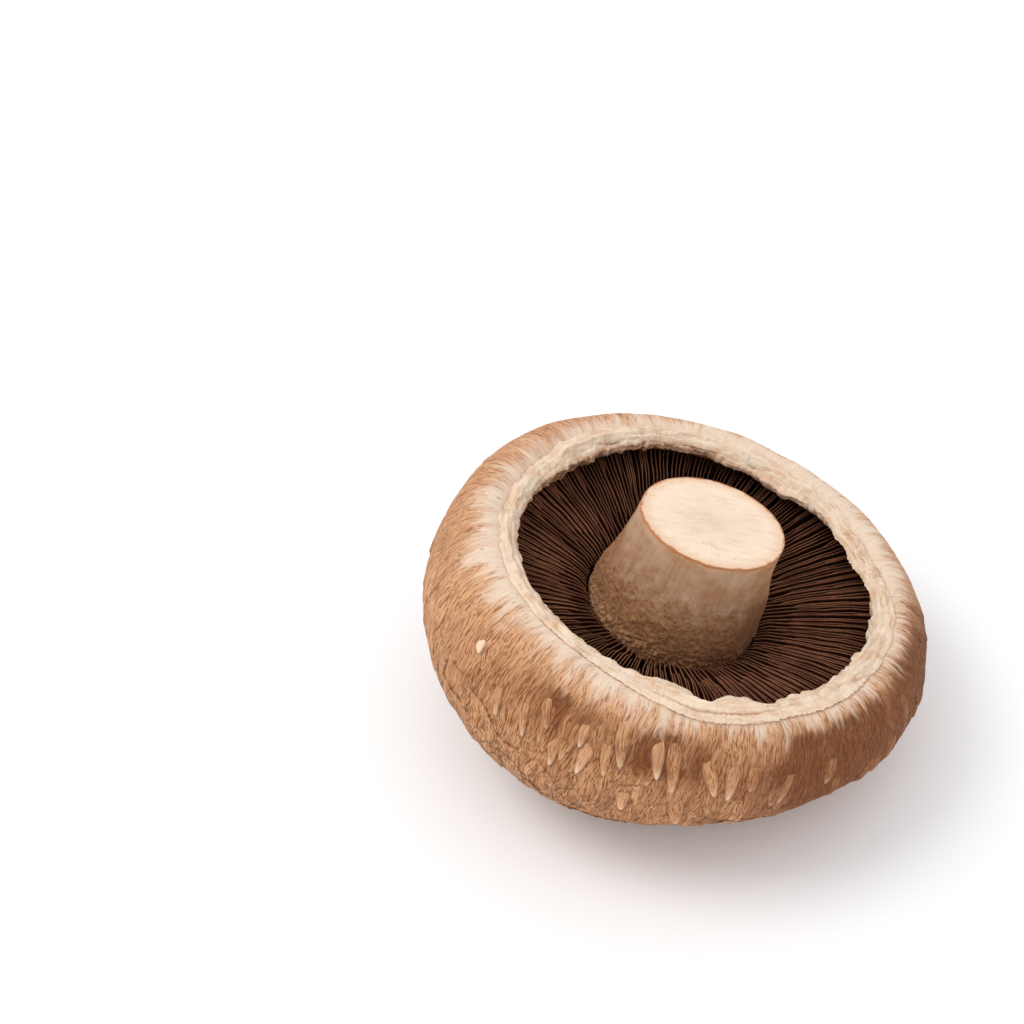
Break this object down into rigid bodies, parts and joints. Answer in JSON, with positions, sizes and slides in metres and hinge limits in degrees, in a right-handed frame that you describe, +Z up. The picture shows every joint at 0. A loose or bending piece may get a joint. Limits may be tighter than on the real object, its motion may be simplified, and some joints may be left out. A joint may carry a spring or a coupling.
{
  "type": "portobello mushroom",
  "caption": "Portobello mushroom with a cut stem, lying cap down and leaning a little, with its gills and torn veil in view.",
  "frame": {"origin": "middle of the flattened spot on the dome of the cap, where the mushroom rests on a surface", "axes": "+Z up from the surface it rests on; the mouth with the gills faces up and leans 14.3 degrees towards +X; +Y to the back, away from the side that is seen first"},
  "size_m": [0.1096, 0.11, 0.0591],
  "materials": {
    "cap_skin": "matte",
    "veil_skin": "matte",
    "gill_blades": "matte",
    "stem_flesh": "matte"
  },
  "bodies": {
    "root": {"cap": "cap_skin", "veil": "veil_skin", "gills": "gill_blades", "stem": "stem_flesh"}
  },
  "joints": []
}
